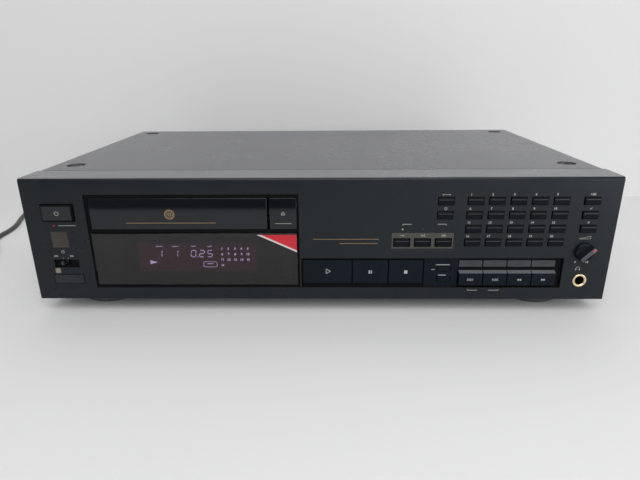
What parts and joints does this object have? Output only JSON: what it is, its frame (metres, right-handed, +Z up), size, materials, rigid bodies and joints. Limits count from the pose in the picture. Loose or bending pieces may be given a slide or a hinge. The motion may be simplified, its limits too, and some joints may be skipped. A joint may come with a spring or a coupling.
{
  "type": "cd player",
  "caption": "Low, wide hi-fi disc player with a sliding disc tray, display window, number pad, key strip, level knob, headphone jack and mains lead.",
  "frame": {"origin": "on the floor, under the middle of the player without its free lead", "axes": "+X to the right seen from the front, +Y from the front to the back, +Z up; the front faces -Y"},
  "size_m": [0.6147, 0.3319, 0.1064],
  "materials": {
    "satin_black": "satin dark charcoal, brushed look",
    "cover_paint": "semi-matt dark enamel on sheet steel",
    "zinc_steel": "zinc-plated sheet steel",
    "gloss_black": "polished black",
    "smoke_window": "smoked clear acrylic",
    "key_black": "semi-gloss black",
    "key_grey": "semi-gloss dark grey",
    "foot_plastic": "matt moulded",
    "tray_plastic": "fine-grained matt black",
    "grey_plastic": "plain grey",
    "white_plastic": "natural acetal",
    "rubber": "plain black rubber",
    "circuit_board": "laminate board",
    "gold": "gold plated",
    "transformer_steel": "varnished laminations",
    "lead_rubber": "matt dark grey-brown sheath"
  },
  "bodies": {
    "case": {"front_panel": "satin_black", "display_window": "smoke_window", "front_board": "circuit_board", "headphone_jack": "gold", "top_cover": "cover_paint", "chassis": "zinc_steel", "rear_panel": "satin_black", "foot_front_left": "foot_plastic", "foot_front_right": "foot_plastic", "foot_rear_left": "foot_plastic", "foot_rear_right": "foot_plastic", "transport_frame": "tray_plastic", "clamp_bridge": "zinc_steel", "loading_motor": "zinc_steel", "loading_belt": "rubber", "main_board": "circuit_board", "power_transformer": "transformer_steel", "line_out_sockets": "gold", "strain_relief": "rubber", "power_cord": "lead_rubber", "cord_coil": "lead_rubber", "plug": "rubber"},
    "tray": {"disc_tray": "tray_plastic", "tray_door": "gloss_black"},
    "pickup_unit": {"pickup_base": "zinc_steel", "guide_rod": "zinc_steel"},
    "pickup": {"optical_pickup": "tray_plastic"},
    "disc_table": {"turntable": "gloss_black"},
    "disc_clamp": {"clamp_puck": "white_plastic"},
    "tray_gear": {"drive_gear": "white_plastic"},
    "loading_pulley": {"motor_pulley": "white_plastic"},
    "power": {"power_button": "key_black"},
    "timer": {"timer_slider": "grey_plastic"},
    "level": {"level_knob": "key_black"},
    "open_close_key": {"open_close_key": "gloss_black"},
    "play_key": {"play_key": "key_black"},
    "pause_key": {"pause_key": "key_black"},
    "stop_key": {"stop_key": "key_black"},
    "number_keys_row_1": {"number_keys_row_1": "key_black"},
    "number_keys_row_2": {"number_keys_row_2": "key_black"},
    "number_keys_row_3": {"number_keys_row_3": "key_black"},
    "number_keys_row_4": {"number_keys_row_4": "key_black"},
    "skip_key_1": {"skip_key_1": "key_grey"},
    "skip_key_2": {"skip_key_2": "key_grey"},
    "skip_key_3": {"skip_key_3": "key_grey"},
    "skip_key_4": {"skip_key_4": "key_grey"},
    "function_key_1": {"function_key_1": "key_grey"},
    "function_key_2": {"function_key_2": "key_grey"},
    "function_key_3": {"function_key_3": "key_grey"},
    "function_key_4": {"function_key_4": "key_grey"},
    "mode_key_continue": {"mode_key_continue": "key_black"},
    "mode_key_shuffle": {"mode_key_shuffle": "key_black"},
    "mode_key_program": {"mode_key_program": "key_black"},
    "edit_key": {"edit_key": "key_black"},
    "time_key": {"time_key": "key_black"},
    "side_key_1": {"side_key_1": "key_black"},
    "side_key_2": {"side_key_2": "key_black"},
    "side_key_3": {"side_key_3": "key_black"},
    "check_key": {"check_key": "key_black"},
    "clear_key": {"clear_key": "key_black"}
  },
  "joints": [
    {"name": "tray_slide", "type": "slide", "parent": "case", "child": "tray", "axis": [0, -1, 0], "range_m": [0, 0.14]},
    {"name": "power_press", "type": "slide", "parent": "case", "child": "power", "axis": [0, 1, 0], "range_m": [0, 0.003], "stiffness_N_per_m": 300, "springref_m": -0.002},
    {"name": "timer_set", "type": "slide", "parent": "case", "child": "timer", "axis": [1, 0, 0], "range_m": [0, 0.004]},
    {"name": "level_turn", "type": "hinge", "parent": "case", "child": "level", "pos_m": [0.1951, -0.136, 0.0505], "axis": [0, 1, 0], "range_deg": [-195, 105]},
    {"name": "pickup_lift", "type": "hinge", "parent": "case", "child": "pickup_unit", "pos_m": [-0.10195, 0.04175, 0.056], "axis": [-1, 0, 0], "range_deg": [0, 4.25]},
    {"name": "pickup_travel", "type": "slide", "parent": "pickup_unit", "child": "pickup", "axis": [0, 0.9973, 0.0741], "range_m": [0, 0.035]},
    {"name": "disc_spin", "type": "hinge", "parent": "pickup_unit", "child": "disc_table", "pos_m": [-0.10195, -0.06766, 0.07094], "axis": [0, -0.0741, 0.9973], "continuous": true},
    {"name": "clamp_spin", "type": "hinge", "parent": "case", "child": "disc_clamp", "pos_m": [-0.10195, -0.06625, 0.0805], "axis": [0, 0, 1], "continuous": true},
    {"name": "tray_gear_spin", "type": "hinge", "parent": "case", "child": "tray_gear", "pos_m": [-0.06445, -0.098, 0.012], "axis": [0, 0, 1], "range_deg": [-642, 0]},
    {"name": "loading_pulley_spin", "type": "hinge", "parent": "case", "child": "loading_pulley", "pos_m": [-0.10045, -0.098, 0.012], "axis": [0, 0, 1], "range_deg": [-2728, 0]},
    {"name": "open_close_press", "type": "slide", "parent": "case", "child": "open_close_key", "axis": [0, 1, 0], "range_m": [0, 0.001], "stiffness_N_per_m": 200, "springref_m": -0.002},
    {"name": "play_press", "type": "slide", "parent": "case", "child": "play_key", "axis": [0, 1, 0], "range_m": [0, 0.001], "stiffness_N_per_m": 200, "springref_m": -0.002},
    {"name": "pause_press", "type": "slide", "parent": "case", "child": "pause_key", "axis": [0, 1, 0], "range_m": [0, 0.001], "stiffness_N_per_m": 200, "springref_m": -0.002},
    {"name": "stop_press", "type": "slide", "parent": "case", "child": "stop_key", "axis": [0, 1, 0], "range_m": [0, 0.001], "stiffness_N_per_m": 200, "springref_m": -0.002},
    {"name": "numbers_row_1_press", "type": "slide", "parent": "case", "child": "number_keys_row_1", "axis": [0, 1, 0], "range_m": [0, 0.001], "stiffness_N_per_m": 200, "springref_m": -0.002},
    {"name": "numbers_row_2_press", "type": "slide", "parent": "case", "child": "number_keys_row_2", "axis": [0, 1, 0], "range_m": [0, 0.001], "stiffness_N_per_m": 200, "springref_m": -0.002},
    {"name": "numbers_row_3_press", "type": "slide", "parent": "case", "child": "number_keys_row_3", "axis": [0, 1, 0], "range_m": [0, 0.001], "stiffness_N_per_m": 200, "springref_m": -0.002},
    {"name": "numbers_row_4_press", "type": "slide", "parent": "case", "child": "number_keys_row_4", "axis": [0, 1, 0], "range_m": [0, 0.001], "stiffness_N_per_m": 200, "springref_m": -0.002},
    {"name": "skip_1_press", "type": "slide", "parent": "case", "child": "skip_key_1", "axis": [0, 1, 0], "range_m": [0, 0.001], "stiffness_N_per_m": 200, "springref_m": -0.002},
    {"name": "skip_2_press", "type": "slide", "parent": "case", "child": "skip_key_2", "axis": [0, 1, 0], "range_m": [0, 0.001], "stiffness_N_per_m": 200, "springref_m": -0.002},
    {"name": "skip_3_press", "type": "slide", "parent": "case", "child": "skip_key_3", "axis": [0, 1, 0], "range_m": [0, 0.001], "stiffness_N_per_m": 200, "springref_m": -0.002},
    {"name": "skip_4_press", "type": "slide", "parent": "case", "child": "skip_key_4", "axis": [0, 1, 0], "range_m": [0, 0.001], "stiffness_N_per_m": 200, "springref_m": -0.002},
    {"name": "function_1_press", "type": "slide", "parent": "case", "child": "function_key_1", "axis": [0, 1, 0], "range_m": [0, 0.001], "stiffness_N_per_m": 200, "springref_m": -0.002},
    {"name": "function_2_press", "type": "slide", "parent": "case", "child": "function_key_2", "axis": [0, 1, 0], "range_m": [0, 0.001], "stiffness_N_per_m": 200, "springref_m": -0.002},
    {"name": "function_3_press", "type": "slide", "parent": "case", "child": "function_key_3", "axis": [0, 1, 0], "range_m": [0, 0.001], "stiffness_N_per_m": 200, "springref_m": -0.002},
    {"name": "function_4_press", "type": "slide", "parent": "case", "child": "function_key_4", "axis": [0, 1, 0], "range_m": [0, 0.001], "stiffness_N_per_m": 200, "springref_m": -0.002},
    {"name": "mode_continue_press", "type": "slide", "parent": "case", "child": "mode_key_continue", "axis": [0, 1, 0], "range_m": [0, 0.001], "stiffness_N_per_m": 200, "springref_m": -0.002},
    {"name": "mode_shuffle_press", "type": "slide", "parent": "case", "child": "mode_key_shuffle", "axis": [0, 1, 0], "range_m": [0, 0.001], "stiffness_N_per_m": 200, "springref_m": -0.002},
    {"name": "mode_program_press", "type": "slide", "parent": "case", "child": "mode_key_program", "axis": [0, 1, 0], "range_m": [0, 0.001], "stiffness_N_per_m": 200, "springref_m": -0.002},
    {"name": "edit_press", "type": "slide", "parent": "case", "child": "edit_key", "axis": [0, 1, 0], "range_m": [0, 0.001], "stiffness_N_per_m": 200, "springref_m": -0.002},
    {"name": "time_press", "type": "slide", "parent": "case", "child": "time_key", "axis": [0, 1, 0], "range_m": [0, 0.001], "stiffness_N_per_m": 200, "springref_m": -0.002},
    {"name": "side_1_press", "type": "slide", "parent": "case", "child": "side_key_1", "axis": [0, 1, 0], "range_m": [0, 0.001], "stiffness_N_per_m": 200, "springref_m": -0.002},
    {"name": "side_2_press", "type": "slide", "parent": "case", "child": "side_key_2", "axis": [0, 1, 0], "range_m": [0, 0.001], "stiffness_N_per_m": 200, "springref_m": -0.002},
    {"name": "side_3_press", "type": "slide", "parent": "case", "child": "side_key_3", "axis": [0, 1, 0], "range_m": [0, 0.001], "stiffness_N_per_m": 200, "springref_m": -0.002},
    {"name": "check_press", "type": "slide", "parent": "case", "child": "check_key", "axis": [0, 1, 0], "range_m": [0, 0.001], "stiffness_N_per_m": 200, "springref_m": -0.002},
    {"name": "clear_press", "type": "slide", "parent": "case", "child": "clear_key", "axis": [0, 1, 0], "range_m": [0, 0.001], "stiffness_N_per_m": 200, "springref_m": -0.002}
  ],
  "couplings": [
    {"joint": "tray_gear_spin", "follows": "tray_slide", "rad_per_m": -80},
    {"joint": "loading_pulley_spin", "follows": "tray_slide", "rad_per_m": -340},
    {"joint": "clamp_spin", "follows": "disc_spin", "ratio": 1}
  ]
}
